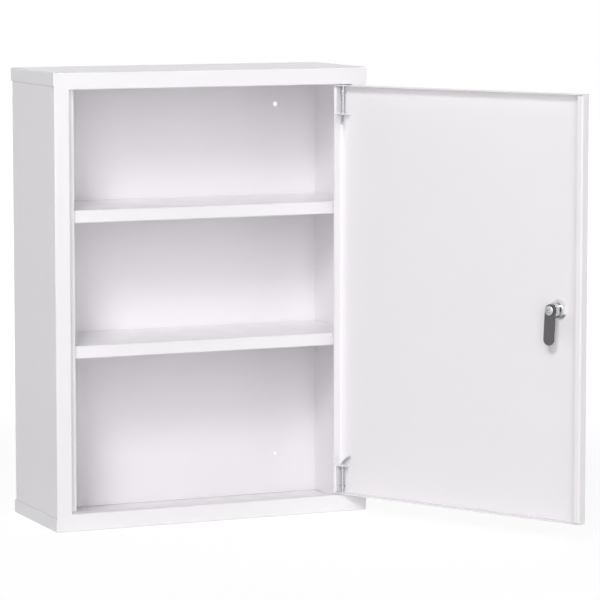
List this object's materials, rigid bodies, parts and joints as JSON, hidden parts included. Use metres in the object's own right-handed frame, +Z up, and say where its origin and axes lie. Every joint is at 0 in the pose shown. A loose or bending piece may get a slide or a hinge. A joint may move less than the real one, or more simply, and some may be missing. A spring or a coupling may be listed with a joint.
{
  "type": "lockable medicine cabinet",
  "caption": "White powder-coated steel wall cabinet for medicines: folded body with fixed shelves and a keyed door on spring-loaded hinge pins, shown open.",
  "frame": {"origin": "middle of the underside of the cabinet's body", "axes": "+X to the right as seen from the front, where the door is hinged; +Y towards the wall; +Z up"},
  "size_m": [0.4605, 0.3899, 0.46],
  "materials": {
    "powder_coat": "satin powder coat",
    "zinc": "bright zinc plate",
    "spring_wire": "drawn spring wire, zinc plated",
    "chrome": "polished chrome plate",
    "plug_metal": "nickel plated, lightly brushed",
    "dark_steel": "dark plated steel",
    "brass": "stamped brass"
  },
  "bodies": {
    "carcass": {"wrap": "powder_coat", "top_tray": "powder_coat", "bottom_tray": "powder_coat", "upper_shelf": "powder_coat", "lower_shelf": "powder_coat"},
    "door": {"door_panel": "powder_coat", "upper_hinge_bracket": "powder_coat", "lower_hinge_bracket": "powder_coat", "upper_hinge_spring": "spring_wire", "lower_hinge_spring": "spring_wire", "lock_housing": "chrome", "lock_washer": "zinc", "lock_nut": "chrome"},
    "upper_pin": {"upper_hinge_pin": "zinc", "upper_pin_collar": "zinc"},
    "lower_pin": {"lower_hinge_pin": "zinc", "lower_pin_collar": "zinc"},
    "lock": {"lock_plug": "plug_metal", "stop_washer": "zinc", "lock_cam": "dark_steel", "cam_washer": "zinc", "cam_screw": "chrome", "wafer_1": "brass", "wafer_2": "brass", "wafer_3": "brass", "wafer_4": "brass"}
  },
  "joints": [
    {"name": "door_hinge", "type": "hinge", "parent": "carcass", "child": "door", "pos_m": [0.1453, -0.0605, 0.23], "axis": [0, 0, 1], "range_deg": [-118.5, 0]},
    {"name": "lock_turn", "type": "hinge", "parent": "door", "child": "lock", "pos_m": [0.27527, -0.29045, 0.229], "axis": [-0.8788, -0.4772, 0], "range_deg": [0, 93]},
    {"name": "upper_pin_slide", "type": "slide", "parent": "door", "child": "upper_pin", "axis": [0, 0, -1], "range_m": [0, 0.0065], "stiffness_N_per_m": 2100, "springref_m": -0.003, "deforming": ["upper_hinge_spring"]},
    {"name": "lower_pin_slide", "type": "slide", "parent": "door", "child": "lower_pin", "axis": [0, 0, 1], "range_m": [0, 0.0065], "stiffness_N_per_m": 2100, "springref_m": -0.003, "deforming": ["lower_hinge_spring"]}
  ]
}
